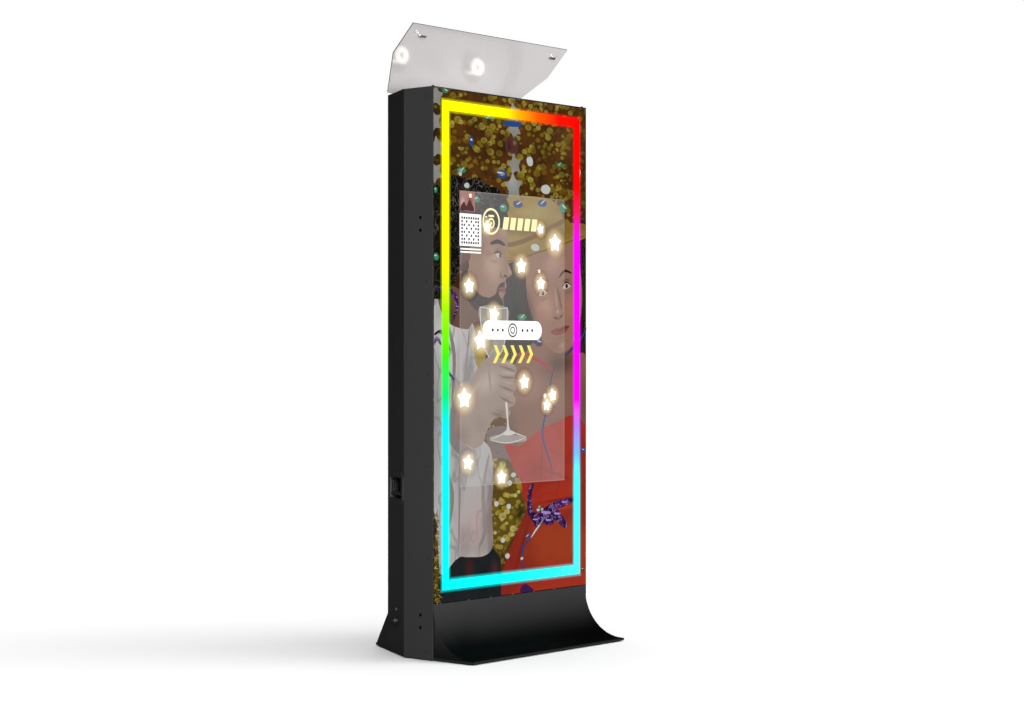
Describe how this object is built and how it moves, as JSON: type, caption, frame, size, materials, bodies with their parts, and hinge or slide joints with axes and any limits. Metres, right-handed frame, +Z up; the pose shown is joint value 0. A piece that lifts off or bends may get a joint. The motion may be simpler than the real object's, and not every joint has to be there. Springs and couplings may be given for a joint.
{
  "type": "photo booth",
  "caption": "Slim free-standing mirror photo booth: chamfered steel cabinet, full-height two-way mirror over a display and light frame, and a tilting lid reflector over ring flashes.",
  "frame": {"origin": "middle of the booth's footprint, on the floor", "axes": "+Z up, -Y out of the mirror towards the person, +X to the right of someone who faces the mirror"},
  "size_m": [0.7784, 0.561, 2.0065],
  "materials": {
    "satin_coat": "satin dark grey powder coat with a fine grain",
    "dark_coat": "satin near-black powder coat",
    "inner_frame": "satin grey paint",
    "deck_coat": "satin light grey paint",
    "rubber": "matt black rubber",
    "two_way_mirror": "half-silvered float glass",
    "bright_steel": "bright zinc plated steel",
    "hinge_steel": "black passivated steel",
    "insert_steel": "dark zinc plated steel",
    "channel_aluminium": "mill finish aluminium",
    "lit_band": "opal plastic, lit in colours",
    "display_glass": "dark display face",
    "display_back": "plain grey sheet",
    "black_plastic": "fine grained black plastic",
    "lens_coating": "coated lens glass",
    "lamp_glass": "frosted tube glass",
    "polished_dish": "bright spun aluminium",
    "reflector_satin": "bright satin reflector sheet",
    "bush_steel": "satin nickel",
    "driver_case": "plain aluminium case",
    "strip_plastic": "white socket strip"
  },
  "bodies": {
    "cabinet": {"side_panel_left": "satin_coat", "side_panel_right": "satin_coat", "rear_cross_panels": "satin_coat", "base_pan": "dark_coat", "top_rim": "dark_coat", "top_deck": "deck_coat", "frame_uprights": "inner_frame", "frame_rails": "inner_frame", "toe_cover": "satin_coat", "toe_plate": "dark_coat", "heel_cover": "dark_coat", "heel_plate": "dark_coat", "rubber_feet": "rubber", "mirror_glass": "two_way_mirror", "glass_gasket": "rubber", "glass_clips": "bright_steel", "led_channel": "channel_aluminium", "led_tape": "lit_band", "led_diffuser": "lit_band", "touch_foil": "display_glass", "lcd_panel": "display_glass", "lcd_chassis": "display_back", "lcd_rails": "bright_steel", "camera_bracket": "inner_frame", "flash_housings": "dark_coat", "flash_dishes": "polished_dish", "flash_tubes": "lamp_glass", "modelling_lamps": "lamp_glass", "side_screws": "hinge_steel", "thread_inserts": "insert_steel", "handle_dishes": "black_plastic", "power_socket": "black_plastic", "button_bush": "bush_steel", "lid_buffers": "rubber", "lid_hinge_base": "hinge_steel", "door_hinge_base": "hinge_steel", "equipment_shelf": "inner_frame", "computer": "black_plastic", "light_driver": "driver_case", "power_strip": "strip_plastic", "internal_leads": "rubber"},
    "lid": {"lid_panel": "dark_coat", "lid_reflector": "reflector_satin", "lid_hinge_leaves": "hinge_steel"},
    "lid_latch_left": {"lid_latch_left": "bright_steel"},
    "lid_latch_right": {"lid_latch_right": "bright_steel"},
    "door": {"rear_door": "dark_coat", "door_hinge_leaves": "hinge_steel", "lock_barrel": "bright_steel", "fan_frames": "black_plastic"},
    "lock_cam": {"lock_cam": "bright_steel"},
    "fan_rotor_left": {"fan_rotor_left": "black_plastic"},
    "fan_rotor_right": {"fan_rotor_right": "black_plastic"},
    "camera": {"camera_cradle": "inner_frame", "camera_body": "black_plastic", "camera_lens": "black_plastic", "lens_glass": "lens_coating"},
    "bail_left": {"handle_bail_left": "hinge_steel"},
    "bail_right": {"handle_bail_right": "hinge_steel"},
    "button": {"power_button": "black_plastic"}
  },
  "joints": [
    {"name": "lid_tilt", "type": "hinge", "parent": "cabinet", "child": "lid", "pos_m": [0, 0.1655, 1.806], "axis": [-1, 0, 0], "range_deg": [-45, 45]},
    {"name": "lid_latch_left_turn", "type": "hinge", "parent": "lid", "child": "lid_latch_left", "pos_m": [-0.337, -0.00845, 1.97995], "axis": [0, -0.7071, -0.7071], "range_deg": [0, 90]},
    {"name": "lid_latch_right_turn", "type": "hinge", "parent": "lid", "child": "lid_latch_right", "pos_m": [0.337, -0.00845, 1.97995], "axis": [0, 0.7071, 0.7071], "range_deg": [0, 90]},
    {"name": "door_swing", "type": "hinge", "parent": "cabinet", "child": "door", "pos_m": [-0.25866, 0.165, 0.9315], "axis": [0, 0, 1], "range_deg": [0, 110]},
    {"name": "lock_turn", "type": "hinge", "parent": "door", "child": "lock_cam", "pos_m": [0.22467, 0.1605, 0.9115], "axis": [0, 1, 0], "range_deg": [0, 90]},
    {"name": "fan_left_spin", "type": "hinge", "parent": "door", "child": "fan_rotor_left", "pos_m": [-0.085, 0.1455, 1.447], "axis": [0, 1, 0], "continuous": true},
    {"name": "fan_right_spin", "type": "hinge", "parent": "door", "child": "fan_rotor_right", "pos_m": [0.085, 0.1455, 1.447], "axis": [0, 1, 0], "continuous": true},
    {"name": "camera_tilt", "type": "hinge", "parent": "cabinet", "child": "camera", "pos_m": [0, -0.0125, 1.64], "axis": [1, 0, 0], "range_deg": [-7, 7]},
    {"name": "bail_left_swing", "type": "hinge", "parent": "cabinet", "child": "bail_left", "pos_m": [-0.33691, 0.08, 0.557], "axis": [0.5, 0.866, 0], "range_deg": [0, 90]},
    {"name": "bail_right_swing", "type": "hinge", "parent": "cabinet", "child": "bail_right", "pos_m": [0.33691, 0.08, 0.557], "axis": [0.5, -0.866, 0], "range_deg": [0, 90]},
    {"name": "button_press", "type": "slide", "parent": "cabinet", "child": "button", "axis": [0.866, -0.5, 0], "range_m": [0, 0.003], "stiffness_N_per_m": 400}
  ]
}
